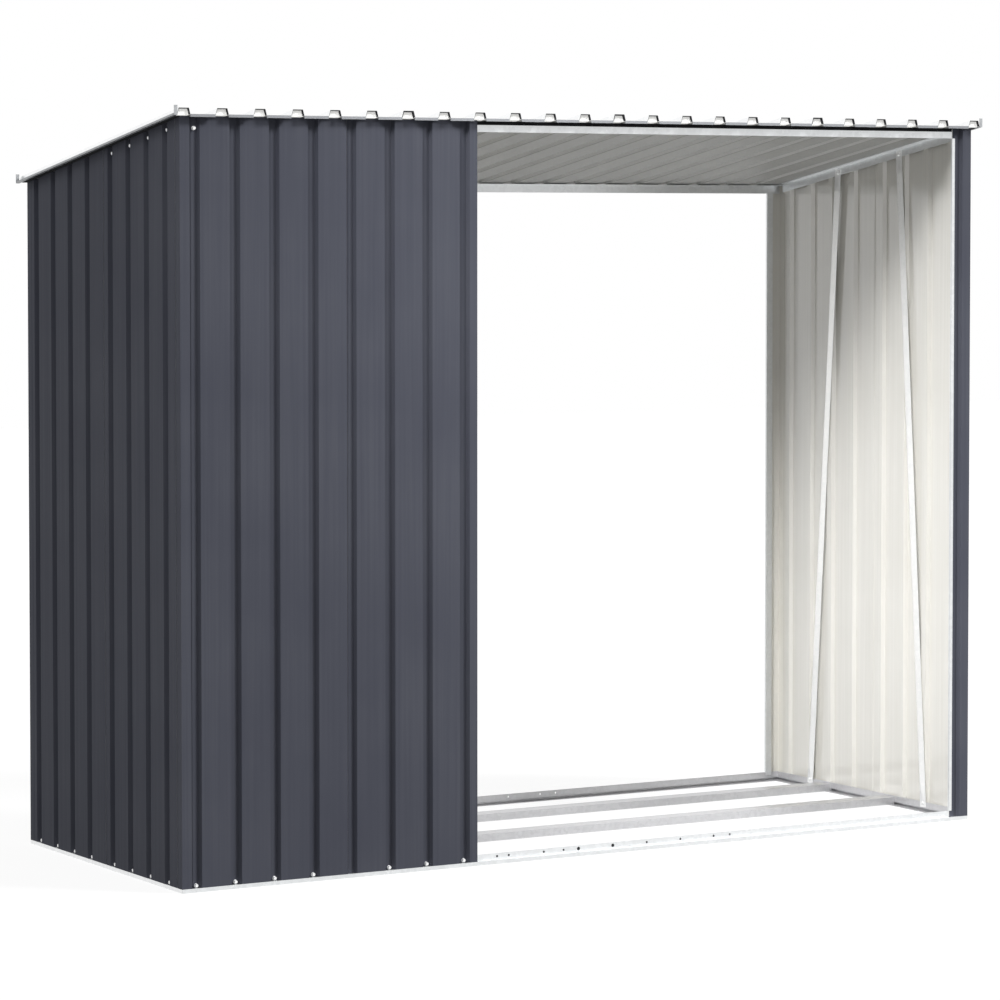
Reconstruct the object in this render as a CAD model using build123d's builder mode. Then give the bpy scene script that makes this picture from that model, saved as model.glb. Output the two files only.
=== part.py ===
from build123d import *
import os
from math import atan, cos, sin, tan

# Log store of profiled steel sheet: a closed bay on the left, an open bay on the right and a roof that
# falls to the back. Millimetres. The ground is Z = 0, the front faces -Y, and the origin lies under the
# middle of the footprint.

# Store, over the outer faces of its walls
store_width = 2400.0
store_depth = 918.0
front_height = 1904.0
back_height = 1752.0
closed_width = 837.0

# Steel and the room left between seated pieces
sheet_steel = 1.0
rail_steel = 1.5
seat_gap = 0.2

# Wall sheets: wide flats outside, narrow grooves that reach in to the rails
groove_depth = 12.0
groove_mouth = 30.0
groove_floor = 20.0
lap_inset = 1.5
lap_width = 14.0
joggle_run = 3.0
closed_groove_count = 8
closed_lap_groove = 4
closed_first_groove = 41.5
closed_last_groove = 36.7
closed_end_fold = 9.0
side_sheet_grooves = 4
side_front_sheet_end = 440.0
side_front_first_groove = 84.0
side_front_last_groove = 38.0
side_back_first_groove = 101.0
side_back_last_groove = 58.0

# Corner posts: a side leg under the side sheet and a short return with one groove
post_side_leg = 24.0
post_return_end = 55.0

# Base rails: foot, lip, ledge for the sheets and web behind them
rail_foot = 30.0
rail_lip = 10.0
rail_web = 16.0
rail_hole_diameter = 5.0
rail_hole_first = 937.0
rail_hole_pitch = 105.3
rail_hole_count = 7
rail_joint_holes = (902.0, 1102.0, 1620.0)

# Floor rails: channels laid open side down across the feet of the side rails
floor_rail_width = 52.0
floor_rail_height = 20.0
floor_rail_count = 2
floor_rail_setback = 42.0

# Top rails: angles behind the heads of the sheets
top_web = 24.0
top_flange = 20.0

# Jamb posts: angles that stiffen the free edges of the closed bay
jamb_leg = 46.0
jamb_return = 25.0
jamb_reveal = 2.0

# Edge posts: channels over the free edges of the right corner posts, fixed behind the rails
edge_cover = 9.0
edge_flange = 20.0
edge_tab = 8.5

# Braces: folded strips with flattened ends inside the side walls
brace_width = 26.0
brace_ridge = 7.0
brace_flat_ridge = 0.4
brace_tab = 25.0
brace_taper = 40.0
brace_foot_spread = 275.0
brace_head_spread = 146.0
brace_foot_lift = 1.5
brace_head_drop = 6.0

# Roof sheets: flat pans with narrow ribs, lapped rib over rib
roof_overhang = 18.0
roof_side_overhang = 22.0
roof_edge_margin = 25.0
roof_rib_count = 24
roof_sheet_pitches = 6
rib_base = 34.0
rib_top = 26.0
rib_height = 15.0
rib_free_leg = 3.0
pan_lip = 6.0

# Rib fillers: plugs that close both ends of the roof ribs
filler_recess = 8.0
filler_length = 20.0

# Roof edging: a narrow angle under each side edge, turned up at both ends
edging_width = 9.0
edging_upstand = 5.0
edging_tab = 24.0

# Places worked out from the sizes above
left = -store_width / 2
front = -store_depth / 2
roof_fall = (front_height - back_height) / store_depth
roof_angle = atan(roof_fall)
down_slope = Vector(0, cos(roof_angle), -sin(roof_angle))
web_back = groove_depth + rail_steel
floor_back = groove_depth - seat_gap
sheet_foot = rail_lip + seat_gap
roof_half = store_width / 2 + roof_side_overhang
roof_front = front - roof_overhang
roof_length = (store_depth + roof_overhang + roof_overhang) / cos(roof_angle)
rib_pitch = (2 * roof_half - 2 * roof_edge_margin) / (roof_rib_count - 1)
blank_height = max(front_height, back_height)


# Side of a line of corners that gets the thickness, going along it
ON_LEFT = 1
ON_RIGHT = -1


def roof_underside(y):
    """Height of the underside of the roof pans at a place along the depth."""
    return front_height - roof_fall * (y - front)


def folded(line, steel, side):
    """Section of a folded strip: a line of corners and the same line set off by the thickness."""
    corners = [Vector(*point) for point in line]
    steps = [(end - start).normalized() for start, end in zip(corners, corners[1:])]
    normals = [Vector(-step.Y * side, step.X * side) for step in steps]
    before = [normals[0]] + normals
    after = normals + [normals[-1]]
    far_side = [c + (a + b) * (steel / (1 + a.dot(b))) for c, a, b in zip(corners, before, after)]
    with BuildSketch() as section:
        with BuildLine():
            Polyline(*corners, *reversed(far_side), close=True)
        make_face()
    return section.sketch


under_roof = Plane(
    origin=(0, front, front_height - seat_gap), x_dir=(1, 0, 0), z_dir=(0, sin(roof_angle), cos(roof_angle))
)

os.makedirs("parts", exist_ok=True)


# Base rails, mitred at the corners of the store
rail_line = [
    (rail_foot, 0),
    (0, 0),
    (0, rail_lip),
    (groove_depth, rail_lip),
    (groove_depth, rail_lip + rail_web),
]
rail_section = folded(rail_line, rail_steel, ON_RIGHT)
rail_hole_height = rail_lip + rail_web / 2
rail_holes = [rail_hole_first + i * rail_hole_pitch for i in range(rail_hole_count)]
rail_holes += rail_joint_holes


def mitre(corner_x, corner_y, into_x, into_y):
    """Upright plane at 45 degrees through a corner, facing the rail that is kept."""
    shift = seat_gap / 2
    return Plane(
        origin=(corner_x + into_x * shift, corner_y + into_y * shift, 0),
        x_dir=(into_y, -into_x, 0),
        z_dir=(into_x, into_y, 0),
    )


with BuildPart() as base_rail_front:
    with BuildSketch(Plane(origin=(left, front, 0), x_dir=(0, 1, 0), z_dir=(1, 0, 0))):
        add(rail_section)
    extrude(amount=store_width)
    with BuildSketch(Plane(origin=(left, front, rail_hole_height), x_dir=(1, 0, 0), z_dir=(0, -1, 0))):
        with Locations(*[(x, 0) for x in rail_holes]):
            Circle(rail_hole_diameter / 2)
    extrude(amount=-web_back - seat_gap, mode=Mode.SUBTRACT)
    split(bisect_by=mitre(left, front, 1, -1), keep=Keep.TOP)
    split(bisect_by=mitre(-left, front, -1, -1), keep=Keep.TOP)
base_rail_front.part.label = "base_rail_front"
export_step(base_rail_front.part, "parts/base_rail_front.step")

with BuildPart() as base_rail_back:
    mirror(base_rail_front.part, about=Plane.XZ)
base_rail_back.part.label = "base_rail_back"
export_step(base_rail_back.part, "parts/base_rail_back.step")

with BuildPart() as base_rail_left:
    with BuildSketch(Plane(origin=(left, front, 0), x_dir=(1, 0, 0), z_dir=(0, -1, 0))):
        add(rail_section)
    extrude(amount=-store_depth)
    split(bisect_by=mitre(left, front, -1, 1), keep=Keep.TOP)
    split(bisect_by=mitre(left, -front, -1, -1), keep=Keep.TOP)
base_rail_left.part.label = "base_rail_left"
export_step(base_rail_left.part, "parts/base_rail_left.step")

with BuildPart() as base_rail_right:
    mirror(base_rail_left.part, about=Plane.YZ)
base_rail_right.part.label = "base_rail_right"
export_step(base_rail_right.part, "parts/base_rail_right.step")


# Floor rails, spaced evenly, set a little to the back and carried on the feet of the side rails
floor_rail_foot = rail_steel + seat_gap
floor_rail_line = [
    (-floor_rail_width / 2, floor_rail_foot),
    (-floor_rail_width / 2, floor_rail_foot + floor_rail_height),
    (floor_rail_width / 2, floor_rail_foot + floor_rail_height),
    (floor_rail_width / 2, floor_rail_foot),
]
floor_rail_section = folded(floor_rail_line, rail_steel, ON_RIGHT)
floor_rail_start = left + web_back + seat_gap
floor_rail_spacing = store_depth / (floor_rail_count + 1)

for i in range(floor_rail_count):
    rail_y = front + (i + 1) * floor_rail_spacing + floor_rail_setback
    with BuildPart() as floor_rail:
        with BuildSketch(Plane(origin=(floor_rail_start, rail_y, 0), x_dir=(0, 1, 0), z_dir=(1, 0, 0))):
            add(floor_rail_section)
        extrude(amount=-2 * floor_rail_start)
    floor_rail.part.label = f"floor_rail_{i + 1}"
    export_step(floor_rail.part, f"parts/floor_rail_{i + 1}.step")


# Corner posts: the side leg steps in under the side sheet, the return ends in the floor of a groove
post_groove = closed_first_groove
post_line = [
    (sheet_steel + sheet_steel + seat_gap, post_side_leg + joggle_run + lap_width),
    (sheet_steel + sheet_steel + seat_gap, post_side_leg + joggle_run),
    (sheet_steel, post_side_leg),
    (sheet_steel, sheet_steel),
    (post_groove - groove_mouth / 2, sheet_steel),
    (post_groove - groove_floor / 2, floor_back),
    (post_return_end, floor_back),
]
post_section = folded([(left + u, front + n) for u, n in post_line], sheet_steel, ON_RIGHT)

with BuildPart() as post_blank:
    with BuildSketch(Plane.XY.offset(sheet_foot)):
        add(post_section)
    extrude(amount=blank_height)

corner_posts = (
    ("corner_post_front_left", False, False),
    ("corner_post_front_right", True, False),
    ("corner_post_back_left", False, True),
    ("corner_post_back_right", True, True),
)
for name, on_right, on_back in corner_posts:
    with BuildPart() as corner_post:
        add(post_blank.part)
        if on_right:
            mirror(about=Plane.YZ, mode=Mode.REPLACE)
        if on_back:
            mirror(about=Plane.XZ, mode=Mode.REPLACE)
        split(bisect_by=under_roof, keep=Keep.BOTTOM)
    corner_post.part.label = name
    export_step(corner_post.part, f"parts/{name}.step")


def groove(middle):
    """Inner line of one whole groove, met in the direction of the sheet's width."""
    return [
        (middle - groove_mouth / 2, sheet_steel),
        (middle - groove_floor / 2, floor_back),
        (middle + groove_floor / 2, floor_back),
        (middle + groove_mouth / 2, sheet_steel),
    ]


def lapped_start(middle):
    """Inner line of a sheet that starts inside the groove of its neighbour and lies on its floor."""
    lap_back = floor_back - sheet_steel - seat_gap
    return [
        (middle - groove_floor / 2 + lap_inset, lap_back),
        (middle + groove_floor / 2 - lap_inset, lap_back),
        (middle + groove_mouth / 2 - lap_inset, sheet_steel),
    ]


def lapped_end(middle):
    """Inner line of a sheet that ends in the floor of a groove, under its neighbour."""
    return [
        (middle - groove_mouth / 2, sheet_steel),
        (middle - groove_floor / 2, floor_back),
        (middle + post_return_end - post_groove, floor_back),
    ]


# Closed bay: two sheets at the front and two at the back, lapped in a groove
closed_pitch = (closed_width - closed_first_groove - closed_last_groove) / (closed_groove_count - 1)
closed_grooves = [closed_first_groove + i * closed_pitch for i in range(closed_groove_count)]
outer_sheet_line = lapped_start(closed_grooves[0])
for middle in closed_grooves[1:closed_lap_groove]:
    outer_sheet_line += groove(middle)
outer_sheet_line += lapped_end(closed_grooves[closed_lap_groove])
inner_sheet_line = lapped_start(closed_grooves[closed_lap_groove])
for middle in closed_grooves[closed_lap_groove + 1 :]:
    inner_sheet_line += groove(middle)
inner_sheet_line += [
    (closed_width - sheet_steel, sheet_steel),
    (closed_width - sheet_steel, closed_end_fold),
]

closed_sheets = (
    ("closed_front_sheet_1", outer_sheet_line, False),
    ("closed_front_sheet_2", inner_sheet_line, False),
    ("closed_back_sheet_1", outer_sheet_line, True),
    ("closed_back_sheet_2", inner_sheet_line, True),
)
for name, line, on_back in closed_sheets:
    section = folded([(left + u, front + n) for u, n in line], sheet_steel, ON_RIGHT)
    with BuildPart() as closed_sheet:
        with BuildSketch(Plane.XY.offset(sheet_foot)):
            add(section)
        extrude(amount=blank_height)
        if on_back:
            mirror(about=Plane.XZ, mode=Mode.REPLACE)
        split(bisect_by=under_roof, keep=Keep.BOTTOM)
    closed_sheet.part.label = name
    export_step(closed_sheet.part, f"parts/{name}.step")


# Side walls: the back sheet laps over a stepped edge of the front sheet
lap_under = sheet_steel + sheet_steel + seat_gap
side_start = post_side_leg + joggle_run + seat_gap
side_front_pitch = (side_front_sheet_end - side_front_first_groove - side_front_last_groove) / (
    side_sheet_grooves - 1
)
side_front_line = [(side_start, sheet_steel)]
for i in range(side_sheet_grooves):
    side_front_line += groove(side_front_first_groove + i * side_front_pitch)
side_front_line += [
    (side_front_sheet_end, sheet_steel),
    (side_front_sheet_end + joggle_run, lap_under),
    (side_front_sheet_end + joggle_run + lap_width, lap_under),
]
side_back_width = store_depth - side_front_sheet_end
side_back_pitch = (side_back_width - side_back_first_groove - side_back_last_groove) / (
    side_sheet_grooves - 1
)
side_back_line = [(side_front_sheet_end + joggle_run + seat_gap, sheet_steel)]
for i in range(side_sheet_grooves):
    side_back_line += groove(side_front_sheet_end + side_back_first_groove + i * side_back_pitch)
side_back_line += [(store_depth - side_start, sheet_steel)]

side_sheets = (
    ("side_sheet_left_front", side_front_line, False),
    ("side_sheet_left_back", side_back_line, False),
    ("side_sheet_right_front", side_front_line, True),
    ("side_sheet_right_back", side_back_line, True),
)
for name, line, on_right in side_sheets:
    section = folded([(left + n, front + u) for u, n in line], sheet_steel, ON_LEFT)
    with BuildPart() as side_sheet:
        with BuildSketch(Plane.XY.offset(sheet_foot)):
            add(section)
        extrude(amount=blank_height)
        if on_right:
            mirror(about=Plane.YZ, mode=Mode.REPLACE)
        split(bisect_by=under_roof, keep=Keep.BOTTOM)
    side_sheet.part.label = name
    export_step(side_sheet.part, f"parts/{name}.step")


# Front and back top rails: level angles that the falling roof meets along one edge
def rail_top(web_y, flange_y):
    """Top of a level rail that stays under the roof from its web to the edge of its flange."""
    return min(roof_underside(web_y), roof_underside(flange_y)) - seat_gap


web_y = front + groove_depth
front_rail_top = rail_top(web_y, web_y + top_flange)
back_rail_top = rail_top(-web_y, -web_y - top_flange)


def angle_line(web_outside, flange_top):
    """Outer line of a top rail: up the web and inwards along the flange."""
    return [
        (web_outside, flange_top - top_web),
        (web_outside, flange_top),
        (web_outside + top_flange, flange_top),
    ]


top_rail_start = left + groove_depth
level_rails = (("top_rail_front", front_rail_top, False), ("top_rail_back", back_rail_top, True))
for name, flange_top, on_back in level_rails:
    section = folded(angle_line(groove_depth, flange_top), rail_steel, ON_RIGHT)
    with BuildPart() as top_rail:
        with BuildSketch(Plane(origin=(top_rail_start, front, 0), x_dir=(0, 1, 0), z_dir=(1, 0, 0))):
            add(section)
        extrude(amount=-2 * top_rail_start)
        if on_back:
            mirror(about=Plane.XZ, mode=Mode.REPLACE)
    top_rail.part.label = name
    export_step(top_rail.part, f"parts/{name}.step")


# Side top rails: angles that follow the slope and carry the roof pans along their flanges
slope_rail_start = front + groove_depth + top_flange + seat_gap
slope_rail_length = -2 * slope_rail_start / cos(roof_angle)
slope_rail_top = roof_underside(slope_rail_start) - seat_gap
slope_rail_section = folded(angle_line(left + groove_depth, slope_rail_top), rail_steel, ON_RIGHT)
with BuildPart() as top_rail_left:
    with BuildSketch(Plane(origin=(0, slope_rail_start, 0), x_dir=(1, 0, 0), z_dir=(0, -1, 0))):
        add(slope_rail_section)
    extrude(amount=slope_rail_length, dir=down_slope)
top_rail_left.part.label = "top_rail_left"
export_step(top_rail_left.part, "parts/top_rail_left.step")

with BuildPart() as top_rail_right:
    mirror(top_rail_left.part, about=Plane.YZ)
top_rail_right.part.label = "top_rail_right"
export_step(top_rail_right.part, "parts/top_rail_right.step")


# Jamb posts: they stand on the feet of the base rails, behind the webs, at the edge of the open bay
jamb_outside = web_back + seat_gap
jamb_edge = closed_width + jamb_reveal
jamb_line = [
    (jamb_edge - jamb_leg, jamb_outside),
    (jamb_edge, jamb_outside),
    (jamb_edge, jamb_outside + jamb_return),
]
jamb_section = folded([(left + u, front + n) for u, n in jamb_line], rail_steel, ON_LEFT)
jamb_foot = rail_steel + seat_gap
jamb_posts = (("jamb_post_front", front_rail_top, False), ("jamb_post_back", back_rail_top, True))
for name, flange_top, on_back in jamb_posts:
    with BuildPart() as jamb_post:
        with BuildSketch(Plane.XY.offset(jamb_foot)):
            add(jamb_section)
        extrude(amount=flange_top - rail_steel - seat_gap - jamb_foot)
        if on_back:
            mirror(about=Plane.XZ, mode=Mode.REPLACE)
    jamb_post.part.label = name
    export_step(jamb_post.part, f"parts/{name}.step")


# Edge posts: the sheet's edge lies in the channel, and the inner flange laps behind both rails
edge_outside = post_return_end + seat_gap + rail_steel
edge_front = floor_back - sheet_steel - seat_gap - rail_steel
edge_back = web_back + seat_gap + rail_steel
edge_line = [
    (edge_outside - edge_cover, edge_front),
    (edge_outside, edge_front),
    (edge_outside, edge_back),
    (edge_outside - edge_flange, edge_back),
]
edge_section = folded([(left + u, front + n) for u, n in edge_line], rail_steel, ON_LEFT)
web_head = rail_lip + rail_web
edge_posts = (("edge_post_front", front_rail_top, False), ("edge_post_back", back_rail_top, True))
for name, flange_top, on_back in edge_posts:
    clear_height = flange_top - top_web - web_head
    with BuildPart() as edge_post:
        with BuildSketch(Plane.XY.offset(web_head + seat_gap)):
            add(edge_section)
        extrude(amount=clear_height - seat_gap - seat_gap)
        with BuildSketch(Plane.XY.offset(web_head - edge_tab)):
            with Locations((left + edge_outside, front + edge_back)):
                Rectangle(edge_flange, rail_steel, align=(Align.MAX, Align.MAX))
        extrude(amount=clear_height + edge_tab + edge_tab)
        mirror(about=Plane.YZ, mode=Mode.REPLACE)
        if on_back:
            mirror(about=Plane.XZ, mode=Mode.REPLACE)
    edge_post.part.label = name
    export_step(edge_post.part, f"parts/{name}.step")


# Braces: each leans towards the middle of its side wall, flat where it meets the rails
def brace_section(ridge):
    """Section of a brace whose fold stands off the wall by the given ridge."""
    line = [(-brace_width / 2, 0), (0, ridge), (brace_width / 2, 0)]
    return folded(line, rail_steel, ON_LEFT)


brace_plane_x = -left - web_back - seat_gap
brace_foot_z = rail_lip + brace_foot_lift
flat_section = brace_section(brace_flat_ridge)
ridged_section = brace_section(brace_ridge)
braces = (
    ("brace_right_front", -1, False),
    ("brace_right_back", 1, False),
    ("brace_left_front", -1, True),
    ("brace_left_back", 1, True),
)
for name, towards, on_left in braces:
    head_y = towards * brace_head_spread
    foot = Vector(brace_plane_x, towards * brace_foot_spread, brace_foot_z)
    head = Vector(brace_plane_x, head_y, roof_underside(head_y) - brace_head_drop)
    along = (head - foot).normalized()
    across = Vector(0, along.Z, -along.Y)
    length = (head - foot).length
    stations = (
        (0, flat_section),
        (brace_tab, flat_section),
        (brace_tab + brace_taper, ridged_section),
        (length - brace_tab - brace_taper, ridged_section),
        (length - brace_tab, flat_section),
        (length, flat_section),
    )
    with BuildPart() as brace:
        for (start, start_section), (end, end_section) in zip(stations, stations[1:]):
            with BuildSketch(Plane(origin=foot + along * start, x_dir=across, z_dir=along)):
                add(start_section)
            with BuildSketch(Plane(origin=foot + along * end, x_dir=across, z_dir=along)):
                add(end_section)
            loft(ruled=True)
        if on_left:
            mirror(about=Plane.YZ, mode=Mode.REPLACE)
    brace.part.label = name
    export_step(brace.part, f"parts/{name}.step")


# Roof sheets: each sheet after the first covers the last rib of the sheet beside it
def rib_middle(i):
    """Place across the roof of the middle of one rib."""
    return -roof_half + roof_edge_margin + i * rib_pitch


flank = (rib_base - rib_top) / 2
flank_angle = atan(rib_height / flank)
lap_offset = sheet_steel + seat_gap
over_base = rib_base / 2 + lap_offset / sin(flank_angle)
over_top = rib_top / 2 + lap_offset * tan(flank_angle / 2)
over_height = rib_height + lap_offset
leg_share = rib_free_leg / rib_height
pan_clear = sheet_steel + seat_gap


def rib(middle):
    """Underside of one whole rib."""
    return [
        (middle - rib_base / 2, 0),
        (middle - rib_top / 2, rib_height),
        (middle + rib_top / 2, rib_height),
        (middle + rib_base / 2, 0),
    ]


def covered_rib(middle):
    """Underside of the last rib of a sheet, with a free leg that stops short of the next pan."""
    return rib(middle)[:-1] + [(middle + rib_base / 2 - leg_share * flank, rib_free_leg)]


def covering_rib(middle):
    """Underside of the first rib of a sheet, which lies over the last rib of its neighbour."""
    tip_share = pan_clear / over_height
    return [
        (middle - over_base + tip_share * (over_base - over_top), pan_clear),
        (middle - over_top, over_height),
        (middle + over_top, over_height),
        (middle + over_base, 0),
    ]


def roof_section_plane(y):
    """Upright plane across the roof, facing forwards, with the underside of the pans at its origin."""
    return Plane(origin=(0, y, roof_underside(y)), x_dir=(1, 0, 0), z_dir=(0, -1, 0))


last_rib = roof_rib_count - 1
roof_ends = ((roof_front, -1), (-roof_front, 1))
lip_width = rib_pitch - over_base - over_base
for number, first in enumerate(range(0, last_rib, roof_sheet_pitches), start=1):
    last = min(first + roof_sheet_pitches, last_rib)
    line = [(-roof_half, 0)] + rib(rib_middle(0)) if first == 0 else covering_rib(rib_middle(first))
    for i in range(first + 1, last):
        line = line + rib(rib_middle(i))
    if last == last_rib:
        line = line + rib(rib_middle(last)) + [(roof_half, 0)]
    else:
        line = line + covered_rib(rib_middle(last))
    section = folded(line, sheet_steel, ON_LEFT)
    with BuildPart() as roof_sheet:
        with BuildSketch(roof_section_plane(roof_front)):
            add(section)
        extrude(amount=roof_length, dir=down_slope)
        for end_y, inward in roof_ends:
            with BuildSketch(roof_section_plane(end_y)):
                with Locations(*[(rib_middle(i) + rib_pitch / 2, -pan_lip) for i in range(first, last)]):
                    Rectangle(lip_width, pan_lip + sheet_steel / 2, align=(Align.CENTER, Align.MIN))
            extrude(amount=inward * sheet_steel)
    roof_sheet.part.label = f"roof_sheet_{number}"
    export_step(roof_sheet.part, f"parts/roof_sheet_{number}.step")


# Rib fillers: one plug in each end of each rib, a little behind the edge of the sheets
filler_base = rib_base / 2 - seat_gap / sin(flank_angle)
filler_top = rib_top / 2 - seat_gap * tan(flank_angle / 2)
filler_line = [
    (-filler_base, 0),
    (-filler_top, rib_height - seat_gap),
    (filler_top, rib_height - seat_gap),
    (filler_base, 0),
]
for name, (end_y, inward) in zip(("rib_fillers_front", "rib_fillers_back"), roof_ends):
    with BuildPart() as rib_fillers:
        with BuildSketch(roof_section_plane(end_y - inward * filler_recess)):
            with Locations(*[(rib_middle(i), 0) for i in range(roof_rib_count)]):
                Polygon(*filler_line, align=None)
        extrude(amount=filler_length, dir=down_slope * -inward)
    rib_fillers.part.label = name
    export_step(rib_fillers.part, f"parts/{name}.step")


# Roof edging: an angle along each side edge, with a tab turned up before and behind the sheets
edging_outside = -roof_half - seat_gap - rail_steel
edging_drop = seat_gap + rail_steel
edging_line = [
    (edging_outside + edging_width, -edging_drop),
    (edging_outside, -edging_drop),
    (edging_outside, edging_upstand - edging_drop),
]
edging_section = folded(edging_line, rail_steel, ON_RIGHT)
edging_front = roof_front - seat_gap
edging_length = -2 * edging_front / cos(roof_angle)
with BuildPart() as roof_edging_left:
    with BuildSketch(roof_section_plane(edging_front)):
        add(edging_section)
    extrude(amount=edging_length, dir=down_slope)
    for tab_y, outward in ((edging_front, 1), (-edging_front, -1)):
        tab_foot = (edging_outside, tab_y, roof_underside(tab_y) - edging_drop)
        with BuildSketch(Plane(origin=tab_foot, x_dir=(1, 0, 0), z_dir=(0, -1, 0))):
            Rectangle(edging_width, edging_tab, align=(Align.MIN, Align.MIN))
        extrude(amount=outward * rail_steel)
roof_edging_left.part.label = "roof_edging_left"
export_step(roof_edging_left.part, "parts/roof_edging_left.step")

with BuildPart() as roof_edging_right:
    mirror(roof_edging_left.part, about=Plane.YZ)
roof_edging_right.part.label = "roof_edging_right"
export_step(roof_edging_right.part, "parts/roof_edging_right.step")
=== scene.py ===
# %% [markdown]
# # A log store of profiled steel sheet
#
# The store is a kit of thin pressed sheets on pale zinc-coated rails: a closed bay on the left, an open
# bay on the right and a roof that falls to the back. Its solids come from the imported model, which is
# loaded here as a fixed frame. Blender only dresses them: finishes, screws, black strips that paint the
# shade under the roof, floor, light and camera.

# %% Load the frame
from math import radians

import bmesh
import bpy
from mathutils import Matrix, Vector


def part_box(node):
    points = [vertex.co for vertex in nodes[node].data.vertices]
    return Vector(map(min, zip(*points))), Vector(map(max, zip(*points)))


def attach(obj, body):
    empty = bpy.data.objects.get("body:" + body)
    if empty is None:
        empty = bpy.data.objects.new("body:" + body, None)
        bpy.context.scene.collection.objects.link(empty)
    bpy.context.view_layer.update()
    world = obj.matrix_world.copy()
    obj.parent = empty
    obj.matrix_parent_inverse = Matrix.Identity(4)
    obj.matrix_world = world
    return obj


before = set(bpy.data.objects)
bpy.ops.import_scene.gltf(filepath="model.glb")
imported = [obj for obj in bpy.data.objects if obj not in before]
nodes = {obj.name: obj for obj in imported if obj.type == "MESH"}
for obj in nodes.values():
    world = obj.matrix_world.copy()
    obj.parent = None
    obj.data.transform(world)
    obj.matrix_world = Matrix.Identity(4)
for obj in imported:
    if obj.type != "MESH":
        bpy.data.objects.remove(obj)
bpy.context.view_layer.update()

scene = bpy.context.scene
scene.view_settings.view_transform = "Standard"

# %% [markdown]
# ## Where things are
#
# Screws and tape have to meet the sheets, so the faces that they sit on are read from the frame. Only the
# places of grooves and holes along a wall are typed in later, to match the model's. The base rail gives
# the outer faces of the walls. The sheets are cut off along the underside of the roof, so the heads of a
# front sheet and of a back sheet give the height and the fall of that underside.

# %% Places read from the frame
MM = 0.001
seat_gap = 0.2 * MM
base_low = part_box("base_rail_front")[0]
store_left, store_front = base_low.x, base_low.y
front_sheet_low, front_sheet_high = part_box("closed_front_sheet_1")
back_sheet_low, back_sheet_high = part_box("closed_back_sheet_1")
roof_run = back_sheet_low.y - front_sheet_low.y
roof_fall = (front_sheet_high.z - back_sheet_high.z) / roof_run
roof_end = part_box("roof_sheet_2")[1].y


def roof_underside(y):
    """Height of the underside of the roof pans at a place along the depth."""
    return front_sheet_high.z + seat_gap - roof_fall * (y - store_front)


print(f"roof underside {roof_underside(store_front):.4f} m at the front, falls {roof_fall:.4f} per metre")

# %% [markdown]
# ## Small tools
#
# Paint cards give colours as sRGB hex values, while shaders count in linear light, so one function turns
# the first into the second. Shader and geometry trees are both made of nodes with settings and links, and
# one function adds any of them: an input takes a number, a colour, a socket or a whole node. A third
# makes an empty material to fill.

# %% Colour and node tools
def linear(hex_colour):
    """Linear colour with full alpha from an sRGB value such as #50525C."""
    shares = [int(hex_colour[i : i + 2], 16) / 255 for i in (1, 3, 5)]
    return tuple(s / 12.92 if s <= 0.04045 else ((s + 0.055) / 1.055) ** 2.4 for s in shares) + (1.0,)


def add(tree, kind, inputs=None, **settings):
    """Adds a node, sets its properties, and fills its inputs with values or with links."""
    made = tree.nodes.new(kind)
    for name, value in settings.items():
        setattr(made, name, value)
    for socket, value in (inputs or {}).items():
        if isinstance(value, bpy.types.Node):
            tree.links.new(value.outputs[0], made.inputs[socket])
        elif isinstance(value, bpy.types.NodeSocket):
            tree.links.new(value, made.inputs[socket])
        else:
            made.inputs[socket].default_value = value
    return made


def new_material(name):
    """An empty material and its tree."""
    material = bpy.data.materials.new(name)
    material.use_nodes = True
    material.node_tree.nodes.clear()
    return material, material.node_tree


print("mid grey in linear light:", round(linear("#808080")[0], 3))

# %% [markdown]
# ## What rolled sheet looks like
#
# Thin sheet is never quite flat or quite even. Its coat has soft clouds, the rollers leave fine streaks
# along the length, and the sheet gives a little between its folds, which bends what it mirrors. All three
# are noise at a real size: clouds of 260 mm, streaks of 9 mm by 700 mm and waves of 150 mm by 900 mm. A
# picture of a sheet would do the same but would stretch on the folds, so the noise is read from the
# object's own space.

# %% Clouds, streaks and waves
coat_cloud = 260 * MM
roller_streak = (9 * MM, 700 * MM)
sheet_wave = (150 * MM, 900 * MM)
wave_height = 0.5 * MM
wave_strength = 0.5
cloud_detail, streak_detail, wave_detail = 3.0, 2.0, 1.0
tone_low, tone_high = 0.12, 0.4


def stretched_noise(tree, coords, size, detail):
    """Noise whose grains are as wide and as high as the given size."""
    across, along = size
    scale = (1 / across, 1 / across, 1 / along)
    mapped = add(tree, "ShaderNodeMapping", {"Vector": coords, "Scale": scale})
    return add(tree, "ShaderNodeTexNoise", {"Vector": mapped, "Scale": 1.0, "Detail": detail})


def sheet_tone(tree, coords):
    """Where the coat is a little lighter, from 0 to 1."""
    clouds = {"Vector": coords, "Scale": 1 / coat_cloud, "Detail": cloud_detail}
    cloud = add(tree, "ShaderNodeTexNoise", clouds)
    streak = stretched_noise(tree, coords, roller_streak, streak_detail)
    both = add(tree, "ShaderNodeMath", {0: cloud, 1: streak}, operation="MULTIPLY")
    return add(tree, "ShaderNodeMapRange", {0: both, 1: tone_low, 2: tone_high})


def sheet_give(tree, coords):
    """Slow waves in the surface of thin sheet."""
    wave = stretched_noise(tree, coords, sheet_wave, wave_detail)
    give = {"Height": wave, "Strength": wave_strength, "Distance": wave_height}
    return add(tree, "ShaderNodeBump", give)


print("sheet noise:", coat_cloud, roller_streak, sheet_wave, "m")

# %% [markdown]
# ## Colours in layers
#
# A real finish is built up: a ground, then further coats where they are wanted. The shaders here do the
# same. Each coat is a mask and a colour, and it covers what lies below it as far as its mask says. Two
# tones of one colour are the simplest case, with the noise as the mask of the second.

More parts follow.
